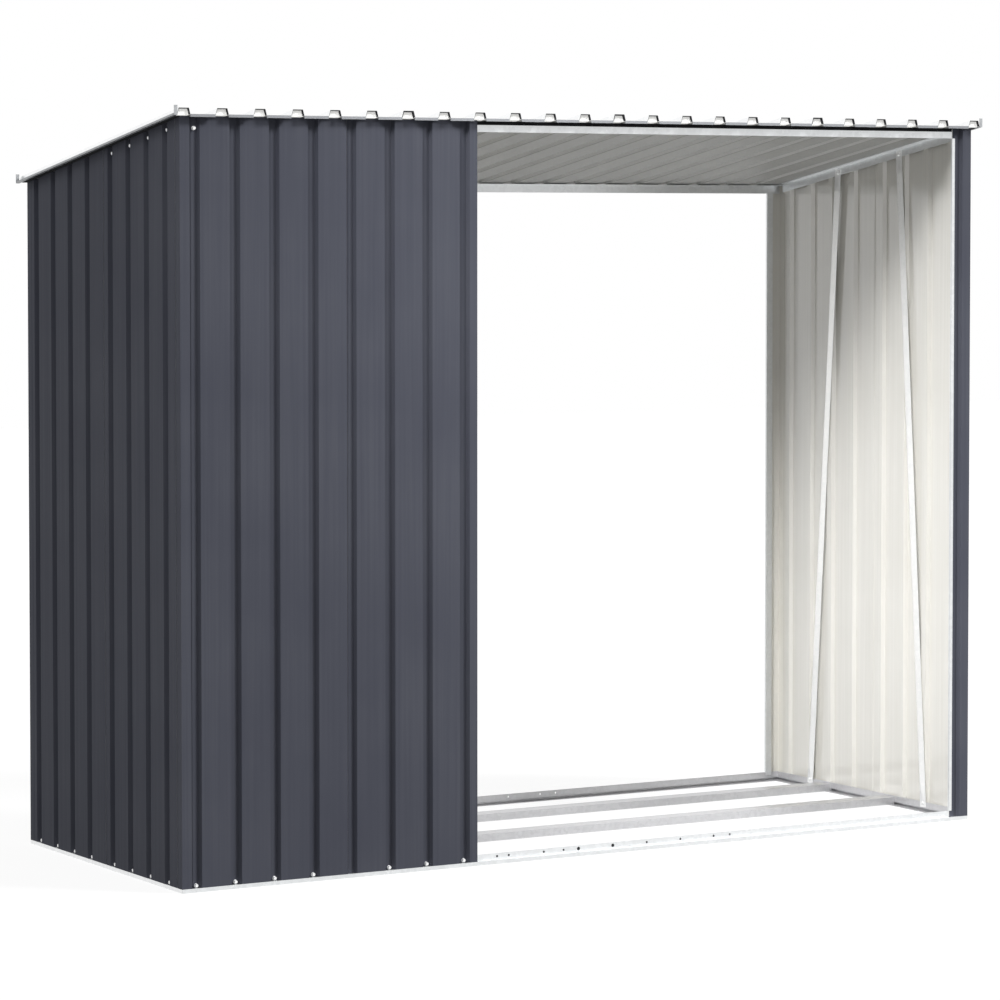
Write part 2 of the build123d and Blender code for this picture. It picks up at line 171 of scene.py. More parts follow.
# %% Laying coats over each other
def laid_over(tree, ground, coats):
    """A ground colour with coats laid over it, each a mask and a colour."""
    for mask, colour in coats:
        covered = add(tree, "ShaderNodeMix", {0: mask, 6: ground, 7: colour}, data_type="RGBA")
        ground = covered.outputs[2]
    return ground


def mottled(tree, mask, tones):
    """A colour that wanders between two hex tones."""
    first, second = (linear(hex_colour) for hex_colour in tones)
    return laid_over(tree, first, [(mask, second)])


print("coats are laid with the node", bpy.types.ShaderNodeMix.bl_rna.name)

# %% [markdown]
# ## Which face of a sheet is which
#
# A coated sheet has an outer face, an inner face and cut edges, and each looks different. Painting them
# as three objects would split every sheet, so the shader asks which way a face looks. Close behind the
# front and back faces of the store, out is the way that leads forwards or backwards; elsewhere it is the
# way that leads left or right. The free fold beside the open bay faces right although it stands left of
# the middle, so the turn from left to right is put near the left wall.

# %% Outer faces, inner faces and cut edges
wall_skin_depth = 14.5 * MM
left_turn_inset = 200 * MM
left_turn = store_left + left_turn_inset
sloped_face_share = 0.2
edge_share = 0.1


def wall_outward(tree, place, normal):
    """How far a wall face looks out of the store, from -1 (in) to 1 (out); 0 on cut edges."""
    behind = add(tree, "ShaderNodeMath", {0: place["Y"]}, operation="ABSOLUTE")
    skin_start = -store_front - wall_skin_depth
    in_skin = add(tree, "ShaderNodeMath", {0: behind, 1: skin_start}, operation="GREATER_THAN")
    lean = add(tree, "ShaderNodeMath", {0: normal["Y"]}, operation="ABSOLUTE")
    leans = add(tree, "ShaderNodeMath", {0: lean, 1: sloped_face_share}, operation="GREATER_THAN")
    use_y = add(tree, "ShaderNodeMath", {0: in_skin, 1: leans}, operation="MULTIPLY")
    y_side = add(tree, "ShaderNodeMath", {0: place["Y"]}, operation="SIGN")
    y_out = add(tree, "ShaderNodeMath", {0: normal["Y"], 1: y_side}, operation="MULTIPLY")
    from_turn = add(tree, "ShaderNodeMath", {0: place["X"], 1: left_turn}, operation="SUBTRACT")
    x_side = add(tree, "ShaderNodeMath", {0: from_turn}, operation="SIGN")
    x_out = add(tree, "ShaderNodeMath", {0: normal["X"], 1: x_side}, operation="MULTIPLY")
    return add(tree, "ShaderNodeMix", {0: use_y, 2: x_out, 3: y_out}, data_type="FLOAT")


def face_masks(tree, outward):
    """Three masks of 0 or 1: outer faces, inner faces and cut edges."""
    outside = add(tree, "ShaderNodeMath", {0: outward, 1: edge_share}, operation="GREATER_THAN")
    inside = add(tree, "ShaderNodeMath", {0: outward, 1: -edge_share}, operation="LESS_THAN")
    faced = add(tree, "ShaderNodeMath", {0: outside, 1: inside}, operation="ADD")
    cut = add(tree, "ShaderNodeMath", {0: 1.0, 1: faced}, operation="SUBTRACT")
    return outside, inside, cut


print(f"wall skins start {-store_front - wall_skin_depth:.4f} m from the middle")

# %% [markdown]
# ## Coil-coated wall sheet
#
# The walls are rolled from steel that was painted on the coil: satin anthracite polyester outside, which
# spreads light and mirrors little, and a glossy off-white backing coat inside, in which the rails are
# mirrored. The cut edges show bare zinc. One principled shader does all three: the masks pick the colour,
# and a clear coat that only the inner faces have gives the gloss.

# %% Wall coat
anthracite = ("#4C4E58", "#54565F")
backing_white = ("#E3E1DA", "#EAE8E2")
cut_zinc = "#A9ADB0"
paint_roughness = 0.55
backing_roughness = 0.5
backing_gloss = 0.1
backing_coat_ior = 2.0
paint_mirror = 0.05


def coil_coated_wall(name):
    """Anthracite paint outside, a glossy backing coat inside and zinc on the cut edges."""
    material, tree = new_material(name)
    coords = add(tree, "ShaderNodeTexCoord").outputs["Object"]
    place = add(tree, "ShaderNodeSeparateXYZ", {0: coords}).outputs
    faces = add(tree, "ShaderNodeNewGeometry").outputs["True Normal"]
    normal = add(tree, "ShaderNodeSeparateXYZ", {0: faces}).outputs
    outside, inside, cut = face_masks(tree, wall_outward(tree, place, normal))
    tone = sheet_tone(tree, coords)
    inner = mottled(tree, tone, backing_white)
    outer = mottled(tree, tone, anthracite)
    roughness = {0: outside, 2: backing_roughness, 3: paint_roughness}
    finish = {
        "Base Color": laid_over(tree, inner, [(outside, outer), (cut, linear(cut_zinc))]),
        "Roughness": add(tree, "ShaderNodeMix", roughness, data_type="FLOAT"),
        "Metallic": cut,
        "Normal": sheet_give(tree, coords),
        "Specular IOR Level": paint_mirror,
        "Coat Weight": inside,
        "Coat Roughness": backing_gloss,
        "Coat IOR": backing_coat_ior,
    }
    shader = add(tree, "ShaderNodeBsdfPrincipled", finish)
    add(tree, "ShaderNodeOutputMaterial", {"Surface": shader})
    return material


wall_coat = coil_coated_wall("coil_coated_wall_sheet")
print("wall coat:", wall_coat.name)

# %% [markdown]
# ## Zinc-coated roof sheet
#
# The roof is bare aluminium-zinc on top and has a plain grey wash below. In the ribs the wash is painted
# lighter: painted light that thins the shade in the rib hollows. The flats grow a dull skin where water
# stands, while the flanks of the ribs stay bright metal. Two narrow places need a tone of their own: the
# drip lip that is turned down along the pans, which is a darker grey, and the rim of each rib end, its
# cut edge and the faces just inside it, which is painted near black: painted shade at the rib end. A
# shader that knows the fall of the roof finds all of these by their height over the pans and by the way
# they face, so the sheet stays one piece.

# %% Roof coat
bright_zinc = ("#F4F5F6", "#FBFCFC")
dull_zinc = ("#BFC4C8", "#C9CDD1")
flat_face_share = 0.7
roof_underside_tones = ("#C6C6C4", "#CFCFCD")
# Lighter than the wash below: painted light in the rib hollows.
rib_inside_painted_light = "#F4F4F2"
lip_tone = "#9C9EA2"
# Near black: painted shade on the rims of the rib ends.
rim_painted_shade = "#26272B"
zinc_roughness = 0.32
dull_roughness = 0.5
dull_mirror = 0.1
rim_depth = 8.5 * MM
pan_top = 1.3 * MM


def roof_masks(tree, place, normal):
    """Masks of 0 or 1: outer faces, flats, rib flanks, rib insides, drip lips and rims of rib ends."""
    outside, inside, cut = face_masks(tree, normal["Z"])
    flat = add(tree, "ShaderNodeMath", {0: normal["Z"], 1: flat_face_share}, operation="GREATER_THAN")
    flank = add(tree, "ShaderNodeMath", {0: outside, 1: flat}, operation="SUBTRACT")

    fallen = add(tree, "ShaderNodeMath", {0: place["Y"], 1: roof_fall}, operation="MULTIPLY")
    level = add(tree, "ShaderNodeMath", {0: place["Z"], 1: fallen}, operation="ADD")
    rib_foot = roof_underside(0) + pan_top
    on_rib = add(tree, "ShaderNodeMath", {0: level, 1: rib_foot}, operation="GREATER_THAN")
    off_rib = add(tree, "ShaderNodeMath", {0: 1.0, 1: on_rib}, operation="SUBTRACT")
    in_rib = add(tree, "ShaderNodeMath", {0: inside, 1: on_rib}, operation="MULTIPLY")
    lip = add(tree, "ShaderNodeMath", {0: cut, 1: off_rib}, operation="MULTIPLY")

    behind = add(tree, "ShaderNodeMath", {0: place["Y"]}, operation="ABSOLUTE")
    rim_start = roof_end - rim_depth
    at_end = add(tree, "ShaderNodeMath", {0: behind, 1: rim_start}, operation="GREATER_THAN")
    rib_end = add(tree, "ShaderNodeMath", {0: on_rib, 1: at_end}, operation="MULTIPLY")
    not_top = add(tree, "ShaderNodeMath", {0: 1.0, 1: outside}, operation="SUBTRACT")
    rim_shade = add(tree, "ShaderNodeMath", {0: rib_end, 1: not_top}, operation="MULTIPLY")
    return outside, flat, flank, in_rib, lip, rim_shade


def zinc_coated_roof(name):
    """Zinc above, grey wash below, painted light in the ribs, darker drip lips, painted shade on rib-end
    rims.
    """
    material, tree = new_material(name)
    coords = add(tree, "ShaderNodeTexCoord").outputs["Object"]
    place = add(tree, "ShaderNodeSeparateXYZ", {0: coords}).outputs
    faces = add(tree, "ShaderNodeNewGeometry").outputs["True Normal"]
    normal = add(tree, "ShaderNodeSeparateXYZ", {0: faces}).outputs
    outside, flat, flank, in_rib, lip, rim_shade = roof_masks(tree, place, normal)
    tone = sheet_tone(tree, coords)
    coats = [
        # The rib insides get painted light, against the shade in their hollows.
        (in_rib, linear(rib_inside_painted_light)),
        (outside, mottled(tree, tone, bright_zinc)),
        (flat, mottled(tree, tone, dull_zinc)),
        (lip, linear(lip_tone)),
        # Painted shade on the rims of the rib ends.
        (rim_shade, linear(rim_painted_shade)),
    ]
    roughness = {0: flank, 2: dull_roughness, 3: zinc_roughness}
    finish = {
        "Base Color": laid_over(tree, mottled(tree, tone, roof_underside_tones), coats),
        "Roughness": add(tree, "ShaderNodeMix", roughness, data_type="FLOAT"),
        "Metallic": flank,
        "Normal": sheet_give(tree, coords),
        "Specular IOR Level": dull_mirror,
    }
    shader = add(tree, "ShaderNodeBsdfPrincipled", finish)
    add(tree, "ShaderNodeOutputMaterial", {"Surface": shader})
    return material


roof_coat = zinc_coated_roof("zinc_coated_roof_sheet")
print("roof coat:", roof_coat.name)

# %% [markdown]
# ## Hot-dip galvanised strip
#
# Rails, posts at the open bay and braces are folded from zinc-coated strip. Zinc freezes in flat
# crystals, so each patch throws the light a little differently. A Voronoi cell for each crystal gives
# that spangle; real ones are a few millimetres wide, and they are drawn wider here so that they show. New
# zinc is a metal and mirrors the white room, but a grey skin soon grows on it that spreads light as chalk
# does, so each coat has its own share of metal. The coats are lighter and darker copies of one zinc: the
# left base rail, the braces and the screws are painted lighter, which is painted light, the floor rails
# and the base rails at the back and right are painted darker, which is the painted shade of the roof over
# them, and the roof edging is a darker grey still. The two large screws in the front rail are
# black-passivated; the small black plugs in its other holes paint the shade of those empty holes.

# %% Zinc
spangle_width = 9 * MM
spangle_low, spangle_high = 0.1, 0.45
zinc_cloud_detail = 4.0
zinc_ripple = 0.03 * MM
ripple_strength = 0.15
roughness_spread = 0.03


def galvanised(name, tones, roughness, metal_share):
    """Zinc-coated steel with a soft spangle."""
    material, tree = new_material(name)
    coords = add(tree, "ShaderNodeTexCoord").outputs["Object"]
    spangle = add(tree, "ShaderNodeTexVoronoi", {"Vector": coords, "Scale": 1 / spangle_width})
    grey = add(tree, "ShaderNodeRGBToBW", {0: spangle.outputs["Color"]})
    clouds = {"Vector": coords, "Scale": 1 / coat_cloud, "Detail": zinc_cloud_detail}
    cloud = add(tree, "ShaderNodeTexNoise", clouds)
    both = add(tree, "ShaderNodeMath", {0: grey, 1: cloud}, operation="MULTIPLY")
    tone = add(tree, "ShaderNodeMapRange", {0: both, 1: spangle_low, 2: spangle_high})
    rough = {0: grey, 3: roughness - roughness_spread, 4: roughness + roughness_spread}
    ripple = {"Height": cloud, "Strength": ripple_strength, "Distance": zinc_ripple}
    finish = {
        "Base Color": mottled(tree, tone, tones),
        "Roughness": add(tree, "ShaderNodeMapRange", rough),
        "Metallic": metal_share,
        "Normal": add(tree, "ShaderNodeBump", ripple),
    }
    shader = add(tree, "ShaderNodeBsdfPrincipled", finish)
    add(tree, "ShaderNodeOutputMaterial", {"Surface": shader})
    return material


rail_zinc = galvanised("galvanised_steel_strip", ("#DCDEDF", "#E4E6E7"), roughness=0.33, metal_share=0.8)
# Lighter copy for the left base rail: painted light.
base_zinc_painted_light = galvanised("base_strip_painted_light", ("#F2F3F4", "#F9FAFA"), roughness=0.33, metal_share=0.8)
# Darker copy for the rails under the roof: painted shade.
floor_zinc_painted_shade = galvanised("floor_strip_painted_shade", ("#C8C8CA", "#D0D0D2"), roughness=0.36, metal_share=0.6)
# Whiter copy for the braces and the screws: painted light.
brace_zinc_painted_light = galvanised("brace_strip_painted_light", ("#F6F7F7", "#FBFBFB"), roughness=0.33, metal_share=0.7)
edging_zinc = galvanised("dull_roof_edging", ("#A7A9AB", "#B1B3B5"), roughness=0.5, metal_share=0.45)
black_zinc = galvanised("black_passivated_zinc", ("#15161A", "#1C1D21"), roughness=0.45, metal_share=0.45)
zinc_coats = (rail_zinc, base_zinc_painted_light, floor_zinc_painted_shade, brace_zinc_painted_light, edging_zinc, black_zinc)
print("zinc:", [coat.name for coat in zinc_coats])

# %% [markdown]
# ## Closed-cell foam
#
# White foam plugs close the ends of the roof ribs against birds and wasps, and black foam strips under
# the roof's edges paint the shade there. Foam is matt and finely pitted where it was cut. Its pores are
# under a millimetre wide, so they are drawn at 1.5 mm to show at all, and only as tone and bump, since
# nobody sees their depth. The plugs at the front also glow faintly: painted light that keeps them pale in
# the shade of their ribs.

# %% Foam
foam_pore = 1.5 * MM
pore_detail = 1.0
pore_depth = 0.3 * MM
pore_strength = 0.4
foam_roughness = 0.85
foam_mirror = 0.2
front_plug_painted_glow = 0.45


def closed_cell_foam(name, tones, glow=0.0):
    """Matt foam with a pitted skin; a glow, where one is given, is painted light."""
    material, tree = new_material(name)
    coords = add(tree, "ShaderNodeTexCoord").outputs["Object"]
    grains = {"Vector": coords, "Scale": 1 / foam_pore, "Detail": pore_detail}
    pores = add(tree, "ShaderNodeTexNoise", grains)
    pitted = {"Height": pores, "Strength": pore_strength, "Distance": pore_depth}
    finish = {
        "Base Color": mottled(tree, pores, tones),
        "Roughness": foam_roughness,
        "Normal": add(tree, "ShaderNodeBump", pitted),
        "Specular IOR Level": foam_mirror,
        "Emission Color": linear(tones[1]),
        "Emission Strength": glow,
    }
    shader = add(tree, "ShaderNodeBsdfPrincipled", finish)
    add(tree, "ShaderNodeOutputMaterial", {"Surface": shader})
    return material


foam_whites = ("#F1F1EE", "#F8F8F6")
# The front plugs glow: painted light against the shade of their ribs.
painted_glow_foam = closed_cell_foam("white_foam_with_painted_glow", foam_whites, front_plug_painted_glow)
white_foam = closed_cell_foam("plain_white_foam", foam_whites)
# Black foam for the strips that paint the shade under the roof.
shade_tape_foam = closed_cell_foam("black_foam_painted_shade", ("#0E0F11", "#17181A"))
print("foam:", painted_glow_foam.name, white_foam.name, shade_tape_foam.name)

# %% [markdown]
# ## Dressing the solids
#
# Each solid keeps its own mesh and gets its finish through its material slot. The names say what it is
# made of: sheets and corner posts are painted, roof sheets and edging have their own zinc, fillers are
# foam, and rails, posts and braces are strip of one coat or another. The first start that fits a name
# counts, so the front and left base rails stand before the other two.

# %% Give every solid its finish
finishes = {
    "closed": wall_coat,
    "side": wall_coat,
    "corner": wall_coat,
    "roof_sheet": roof_coat,
    "roof_edging": edging_zinc,
    "rib_fillers_front": painted_glow_foam,
    "rib_fillers_back": white_foam,
    "base_rail_front": rail_zinc,
    "base_rail_left": base_zinc_painted_light,
    # The floor rails and the back and right base rails wear the darker zinc: painted shade.
    "base_rail": floor_zinc_painted_shade,
    "floor_rail": floor_zinc_painted_shade,
    "brace": brace_zinc_painted_light,
}
dressed = {}
for name, solid in nodes.items():
    finish = next((coat for start, coat in finishes.items() if name.startswith(start)), rail_zinc)
    for material_slot in solid.material_slots:
        material_slot.material = finish
    dressed[finish.name] = dressed.get(finish.name, 0) + 1
print("dressed:", dressed)

# %% [markdown]
# ## Screws
#
# Self-drilling screws with six-sided heads and round washers hold the sheets to the rails: one in the
# floor of almost every groove at the foot of a wall, more along the slope of the front side sheets, and a
# row over the front and back rails in the roof pans. Low round heads hold the ends of the braces. Two
# large black screws sit in holes of the front rail, and small black plugs in its other holes paint the
# shade of those empty holes. Each is a stack of round or six-sided pieces with a flat foot, so one node
# tree sets such a piece on every spot, turned to face out. A mesh for each screw would say the same thing
# a hundred times, and a tree keeps the sizes in one place.

# %% A tree that sets round pieces on spots
def set_pieces_tree():
    """Geometry tree: a tapered round piece on each vertex, turned along the vertex's facing."""
    tree = bpy.data.node_groups.new("set_round_pieces", "GeometryNodeTree")
    tree.interface.new_socket("Geometry", in_out="OUTPUT", socket_type="NodeSocketGeometry")
    tree.interface.new_socket("Geometry", in_out="INPUT", socket_type="NodeSocketGeometry")
    sockets = {}
    for name, kind in (
        ("Sides", "NodeSocketInt"),
        ("Foot Radius", "NodeSocketFloat"),
        ("Top Radius", "NodeSocketFloat"),
        ("Height", "NodeSocketFloat"),
        ("Lift", "NodeSocketFloat"),
        ("Finish", "NodeSocketMaterial"),
    ):
        sockets[name] = tree.interface.new_socket(name, in_out="INPUT", socket_type=kind).identifier
    given = add(tree, "NodeGroupInput").outputs
    piece = add(
        tree,
        "GeometryNodeMeshCone",
        {
            "Vertices": given["Sides"],
            "Radius Top": given["Top Radius"],
            "Radius Bottom": given["Foot Radius"],
            "Depth": given["Height"],
        },
    )
    raise_by = add(tree, "ShaderNodeCombineXYZ", {"Z": given["Lift"]})
    raised = add(tree, "GeometryNodeTransform", {"Geometry": piece, "Translation": raise_by})
    facing = add(tree, "GeometryNodeInputNamedAttribute", {"Name": "facing"}, data_type="FLOAT_VECTOR")
    turned = add(
        tree, "FunctionNodeAlignRotationToVector", {"Vector": facing.outputs["Attribute"]}, axis="Z"
    )
    placed = add(
        tree,
        "GeometryNodeInstanceOnPoints",
        {"Points": given["Geometry"], "Instance": raised, "Rotation": turned},
    )
    real = add(tree, "GeometryNodeRealizeInstances", {"Geometry": placed})
    coloured = add(tree, "GeometryNodeSetMaterial", {"Geometry": real, "Material": given["Finish"]})
    add(tree, "NodeGroupOutput", {"Geometry": coloured})
    return tree, sockets


piece_tree, piece_sockets = set_pieces_tree()
print("inputs of the tree:", list(piece_sockets))


# %% One plain mesh for each kind of piece
def set_pieces(name, spots, slot, **sizes):
    """One plain mesh of round pieces on all the spots, each a place and the way it faces."""
    places = bpy.data.meshes.new(name)
    places.from_pydata([place for place, way in spots], [], [])
    facing = places.attributes.new("facing", "FLOAT_VECTOR", "POINT")
    facing.data.foreach_set("vector", [part for place, way in spots for part in way])
    pieces = bpy.data.objects.new(name, places)
    scene.collection.objects.link(pieces)
    setter = pieces.modifiers.new("set", "NODES")
    setter.node_group = piece_tree
    for input_name, value in sizes.items():
        setter[piece_sockets[input_name.replace("_", " ").title()]] = value
    evaluated = pieces.evaluated_get(bpy.context.evaluated_depsgraph_get())
    plain = bpy.data.meshes.new_from_object(evaluated)
    pieces.modifiers.remove(setter)
    pieces.data = plain
    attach(pieces, "root")
    print(f"{name}: {len(spots)} pieces, {len(plain.polygons)} faces")


# %% Spots on the walls
groove_face = 10.8 * MM
lap_step = 1.2 * MM
foot_screw_rise = 5.8 * MM
head_screw_drop = 28 * MM
side_screw_drop = 19 * MM
foot_height = front_sheet_low.z + foot_screw_rise


def row(start, pitch, places):
    """Distances in metres of some places in a row whose start and pitch are in millimetres."""
    return [(start + i * pitch) * MM for i in places]


closed_grooves = row(start=41.5, pitch=108.4, places=range(8))
unscrewed_groove = 4
front_side_grooves = row(start=84, pitch=106, places=range(4))
back_side_grooves = row(start=541, pitch=106.3, places=range(4))

wall_spots = []
for facing in (-1, 1):
    for i, groove in enumerate(closed_grooves):
        if i == unscrewed_groove:
            continue
        face = -store_front - groove_face + (lap_step if i == 0 else 0)
        wall_spots.append(((store_left + groove, facing * face, foot_height), (0, facing, 0)))
    corner_x = store_left + closed_grooves[0]
    corner_y = facing * (-store_front - groove_face + lap_step)
    wall_spots.append(((corner_x, corner_y, roof_underside(corner_y) - head_screw_drop), (0, facing, 0)))
    side_x = facing * (-store_left - groove_face)
    for groove in front_side_grooves + back_side_grooves:
        y = store_front + groove
        wall_spots.append(((side_x, y, foot_height), (facing, 0, 0)))
        if groove in front_side_grooves:
            wall_spots.append(((side_x, y, roof_underside(y) - side_screw_drop), (facing, 0, 0)))
print(len(wall_spots), "screws in the wall sheets")

# %% Spots on the braces and in the front rail
brace_hole = 12.5 * MM
brace_skin = 1.9 * MM
brace_half = 13 * MM
brace_spots = []
for side, way in (("left", 1), ("right", -1)):
    for end, inward in (("front", 1), ("back", -1)):
        low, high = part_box(f"brace_{side}_{end}")
        face = (low.x if side == "left" else high.x) + way * brace_skin
        outer, inner = (low.y, high.y) if end == "front" else (high.y, low.y)
        foot_y, head_y = outer + inward * brace_half, inner - inward * brace_half
        brace_spots.append(((face, foot_y, low.z + brace_hole), (way, 0, 0)))
        brace_spots.append(((face, head_y, high.z - brace_hole), (way, 0, 0)))

rail_web_depth = 12 * MM
rail_web_face = store_front + rail_web_depth
rail_hole_height = 18 * MM
hole_row = dict(start=937, pitch=105.3)
odd_rail_holes = [902 * MM, 1102 * MM, 1620 * MM]
small_rail_holes = row(**hole_row, places=(0, 1, 4, 5, 6)) + odd_rail_holes
large_rail_holes = row(**hole_row, places=(2, 3))
small_rail_spots, large_rail_spots = (
    [((store_left + x, rail_web_face, rail_hole_height), (0, -1, 0)) for x in holes]
    for holes in (small_rail_holes, large_rail_holes)
)
# The front rail holds two large screws; the rest are plugs of painted shade.
front_rail_pieces = len(small_rail_spots + large_rail_spots)
print(f"{len(brace_spots)} screws in the braces, {front_rail_pieces} in the front rail")

# %% Spots in the roof pans
roof_ribs = 24
rib_margin = 25 * MM
roof_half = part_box("roof_sheet_4")[1].x
pan_thickness = 1 * MM
rail_inset = 22 * MM
rib_pitch = 2 * (roof_half - rib_margin) / (roof_ribs - 1)
roof_spots = []
for i in range(roof_ribs - 1):
    x = -roof_half + rib_margin + (i + 0.5) * rib_pitch
    for y in (store_front + rail_inset, -store_front - rail_inset):
        roof_spots.append(((x, y, roof_underside(y) + pan_thickness), (0, roof_fall, 1)))
print(len(roof_spots), "screws in the roof pans")

# %% Washers and heads
washer_thickness = 1.3 * MM
washer_size = dict(sides=16, foot_radius=5.5 * MM, top_radius=5.1 * MM, height=washer_thickness, lift=0.0)
hex_size = dict(sides=6, foot_radius=4.6 * MM, top_radius=4.3 * MM, height=5 * MM, lift=washer_thickness)
low_size = dict(sides=12, foot_radius=3.8 * MM, top_radius=2.4 * MM, height=2 * MM, lift=washer_thickness)
small_size = dict(sides=12, foot_radius=3.0 * MM, top_radius=2.2 * MM, height=1.2 * MM, lift=0.0)
large_size = dict(sides=12, foot_radius=4.6 * MM, top_radius=3.4 * MM, height=1.8 * MM, lift=0.0)
washer_spots = wall_spots + brace_spots
# Washers and heads wear the whiter brace zinc, which is painted light.
set_pieces("wall_screw_washers", washer_spots, "galvanised_rail", finish=brace_zinc_painted_light, **washer_size)
set_pieces("wall_screw_heads", wall_spots, "galvanised_rail", finish=brace_zinc_painted_light, **hex_size)
set_pieces("brace_screw_heads", brace_spots, "galvanised_rail", finish=brace_zinc_painted_light, **low_size)
set_pieces("roof_screw_washers", roof_spots, "galvanised_rail", finish=brace_zinc_painted_light, **washer_size)
set_pieces("roof_screw_heads", roof_spots, "galvanised_rail", finish=brace_zinc_painted_light, **hex_size)
# Small black plugs: painted shade of the empty holes.
set_pieces("small_rail_hole_shade_plugs", small_rail_spots, "wall_sheet", finish=black_zinc, **small_size)
set_pieces("large_rail_screws", large_rail_spots, "wall_sheet", finish=black_zinc, **large_size)

# %% [markdown]
# ## Tape of painted shade
#
# Black foam strips under the roof paint its shade: a wedge on the level front rail, where the roof rises
# away from it and leaves a slit in shade, a lap over that rail's front edge along the open bay, and a
# flat strip under the roof's overhang beside each side wall. A tape is a plain prism between two end
# sections, so eight corners make each one. The corners follow the fall of the roof.

# %% Tape under the roof
tape_thickness = 2.5 * MM
tape_gap = 0.1 * MM
side_tape_outer = 14.2 * MM
rail_low, rail_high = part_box("top_rail_front")
wedge_depth = 14 * MM
lap_drop = 6 * MM
lap_thickness = 0.8 * MM


def under_roof(x, y, drop):
    """Corner at a drop under the roof pans."""
    return (x, y, roof_underside(y) - drop)


def end_section(x, y, across):
    """Four corners of a flat strip that lies under the roof."""
    return [
        under_roof(x, y, tape_gap),
        under_roof(x + across, y, tape_gap),
        under_roof(x + across, y, tape_thickness),
        under_roof(x, y, tape_thickness),
    ]


wedge_front = rail_low.y + tape_gap
wedge_back = wedge_front + wedge_depth
wedge_foot = rail_high.z + tape_gap
shade_tapes = []
for x in (rail_low.x, rail_high.x):
    wedge = [under_roof(x, wedge_front, tape_gap), under_roof(x, wedge_back, tape_gap)]
    shade_tapes.append(wedge + [(x, wedge_back, wedge_foot), (x, wedge_front, wedge_foot)])
lap_back = rail_low.y - tape_gap
lap_front = lap_back - lap_thickness
lap_foot = rail_high.z - lap_drop
for x in (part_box("jamb_post_front")[1].x + tape_gap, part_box("edge_post_front")[0].x - tape_gap):
    lap = [under_roof(x, lap_front, tape_gap), under_roof(x, lap_back, tape_gap)]
    shade_tapes.append(lap + [(x, lap_back, lap_foot), (x, lap_front, lap_foot)])
for side in (-1, 1):
    for y in (store_front, -store_front):
        shade_tapes.append(end_section(side * (-store_left + tape_gap), y, side * (side_tape_outer - tape_gap)))

# Two end sections of four corners each make one tape.
corners = [corner for section in shade_tapes for corner in section]
prism = [(0, 1, 2, 3), (4, 5, 6, 7)] + [(i, (i + 1) % 4, (i + 1) % 4 + 4, i + 4) for i in range(4)]
faces = [tuple(start + i for i in face) for start in range(0, len(corners), 8) for face in prism]
shade_tape_mesh = bpy.data.meshes.new("roof_painted_shade_tape")
shade_tape_mesh.from_pydata(corners, [], faces)
outward_faces = bmesh.new()
outward_faces.from_mesh(shade_tape_mesh)
bmesh.ops.recalc_face_normals(outward_faces, faces=outward_faces.faces)
outward_faces.to_mesh(shade_tape_mesh)
outward_faces.free()
# The black strips are painted shade where the roof's slits and overhang lie in shade.
shade_tape_mesh.materials.append(shade_tape_foam)
shade_tape = bpy.data.objects.new("roof_painted_shade_tape", shade_tape_mesh)
scene.collection.objects.link(shade_tape)
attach(shade_tape, "root")
print(f"tape: {len(shade_tapes) // 2} strips, {len(faces)} faces")

# %% [markdown]
# ## Floor and surroundings
#
# The store stands on plain white paper in a white room. Seen by the camera, or mirrored in the zinc, both
# are white; the light that they throw back on the store stays at a plain level. A light path node tells
# the two apart. The floor adds a glow to a diffuse paper, so that it still takes the store's shadow.

# %% White surroundings
ambient_level = 0.33
floor_glow_share = 0.9
floor_shadow_tone = 0.16
floor_bounce_tone = 0.3


def seen_directly(tree):
    """1 for rays that come from the camera or mirror the scene, 0 for light that bounces on."""
    path = add(tree, "ShaderNodeLightPath").outputs
    first = {0: path["Is Camera Ray"], 1: path["Is Glossy Ray"]}
    either = add(tree, "ShaderNodeMath", first, operation="MAXIMUM")
    return add(tree, "ShaderNodeMath", {0: either, 1: path["Is Transmission Ray"]}, operation="MAXIMUM")


def flat_grey(tone):
    """Neutral colour of one tone."""
    return (tone, tone, tone, 1.0)


world = bpy.data.worlds.new("white_studio")
world.use_nodes = True
scene.world = world
sky_tree = world.node_tree
sky_tree.nodes.clear()
levels = {0: seen_directly(sky_tree), 2: ambient_level, 3: 1.0}
level = add(sky_tree, "ShaderNodeMix", levels, data_type="FLOAT")
sky = add(sky_tree, "ShaderNodeBackground", {"Color": flat_grey(1.0), "Strength": level})
add(sky_tree, "ShaderNodeOutputWorld", {"Surface": sky})

paper, paper_tree = new_material("white_floor_paper")
bounce = add(paper_tree, "ShaderNodeBsdfDiffuse", {"Color": flat_grey(floor_bounce_tone)})
shadowed = add(paper_tree, "ShaderNodeBsdfDiffuse", {"Color": flat_grey(floor_shadow_tone)})
glow = add(paper_tree, "ShaderNodeEmission", {"Color": flat_grey(1.0), "Strength": floor_glow_share})
white = add(paper_tree, "ShaderNodeAddShader", {0: shadowed, 1: glow})
floor_look = add(paper_tree, "ShaderNodeMixShader", {0: seen_directly(paper_tree), 1: bounce, 2: white})
add(paper_tree, "ShaderNodeOutputMaterial", {"Surface": floor_look})
print("world and floor paper made")

# %% Floor
floor_reach = 20.0
floor_drop = 0.3 * MM
corners_2d = [(-1, -1), (1, -1), (1, 1), (-1, 1)]
floor_mesh = bpy.data.meshes.new("floor")
floor_mesh.from_pydata([(x * floor_reach, y * floor_reach, 0) for x, y in corners_2d], [], [(0, 1, 2, 3)])
floor_mesh.materials.append(paper)
floor = bpy.data.objects.new("floor", floor_mesh)
scene.collection.objects.link(floor)
floor.location.z = -floor_drop
print(f"floor {2 * floor_reach} m wide")

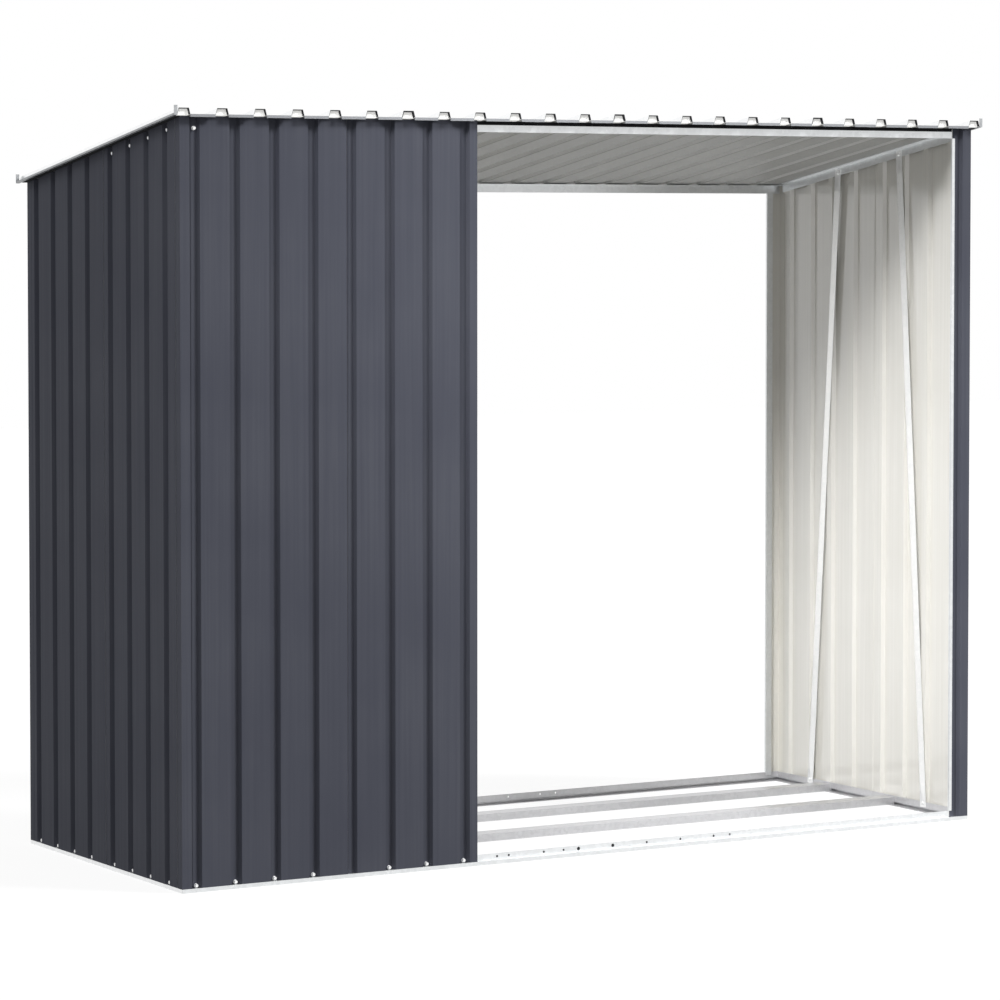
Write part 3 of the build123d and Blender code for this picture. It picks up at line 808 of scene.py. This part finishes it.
# %% [markdown]
# ## Lamps
#
# A soft sun from the right front is the key: it leaves the right flanks of the grooves in shade and draws
# the shadow of the roof's edge on the wall. A weaker sun from the left keeps the left wall off black. A
# panel over the left shoulder looks into the open bay and lights the inside of the right wall; its beam
# is narrow, so that it misses the closed bay. The braces mirror the inside of that bay and would be as
# dark as it is, so a faintly lit card stands there for them, as in any studio.

# %% Suns, panel and card
def hang_lamp(name, kind, **settings):
    """A lamp of the given kind, in the scene."""
    data = bpy.data.lights.new(name, kind)
    for setting, value in settings.items():
        setattr(data, setting, value)
    lamp = bpy.data.objects.new(name, data)
    scene.collection.objects.link(lamp)
    return lamp


key_way = Vector((0.62, -0.52, 0.59))
side_way = Vector((-0.62, -0.25, 0.74))
panel_place, panel_target = Vector((-2.0, -2.4, 3.7)), Vector((1.2, -0.1, 0.5))
card_place = (-1.12, 0, 0.85)
card_size = dict(shape="RECTANGLE", size=1.3, size_y=0.5)

key = hang_lamp("key", "SUN", energy=2.85, angle=radians(16))
key.rotation_euler = key_way.to_track_quat("Z", "Y").to_euler()
side_sun = hang_lamp("side", "SUN", energy=0.62, angle=radians(30))
side_sun.rotation_euler = side_way.to_track_quat("Z", "Y").to_euler()

panel = hang_lamp("panel", "AREA", shape="SQUARE", size=1.6, spread=radians(32), energy=10.8)
panel.location = panel_place
panel.rotation_euler = (panel_target - panel_place).to_track_quat("-Z", "Y").to_euler()
panel.visible_camera = False

card = hang_lamp("card", "AREA", **card_size, spread=radians(40), energy=0.2)
card.location = card_place
card.rotation_euler = (0, -radians(90), 0)
card.visible_camera = False
print("lamps:", key.name, side_sun.name, panel.name, card.name)

# %% [markdown]
# ## Camera
#
# The store was taken with a long lens from the left front, at the height of the eye, with the uprights
# kept nearly upright. Such a picture needs a lens shift. Only part of it is used here and a small dip
# takes the rest, so that a camera that walks round the store with the same shift still holds all of it.

# %% Camera
picture_width = 1000
focal_pixels = 3946.7
camera_turn = radians(30.465)
camera_dip = radians(2.549)
camera_place = (-5.402, -9.139, 1.640)
film_width = 36.0
lens_shift = -0.1
view_reach = 100.0
camera_data = bpy.data.cameras.new("camera")
camera_data.sensor_width = film_width
camera_data.lens = focal_pixels / picture_width * film_width
camera_data.shift_y = lens_shift
camera_data.clip_end = view_reach
camera = bpy.data.objects.new("camera", camera_data)
scene.collection.objects.link(camera)
camera.location = camera_place
camera.rotation_euler = (radians(90) - camera_dip, 0, -camera_turn)
scene.camera = camera
print(f"lens {camera_data.lens:.1f} mm")

# %% [markdown]
# ## End
#
# Dressing must not make the store bigger.

# %% Finish
print("dressed store ready")
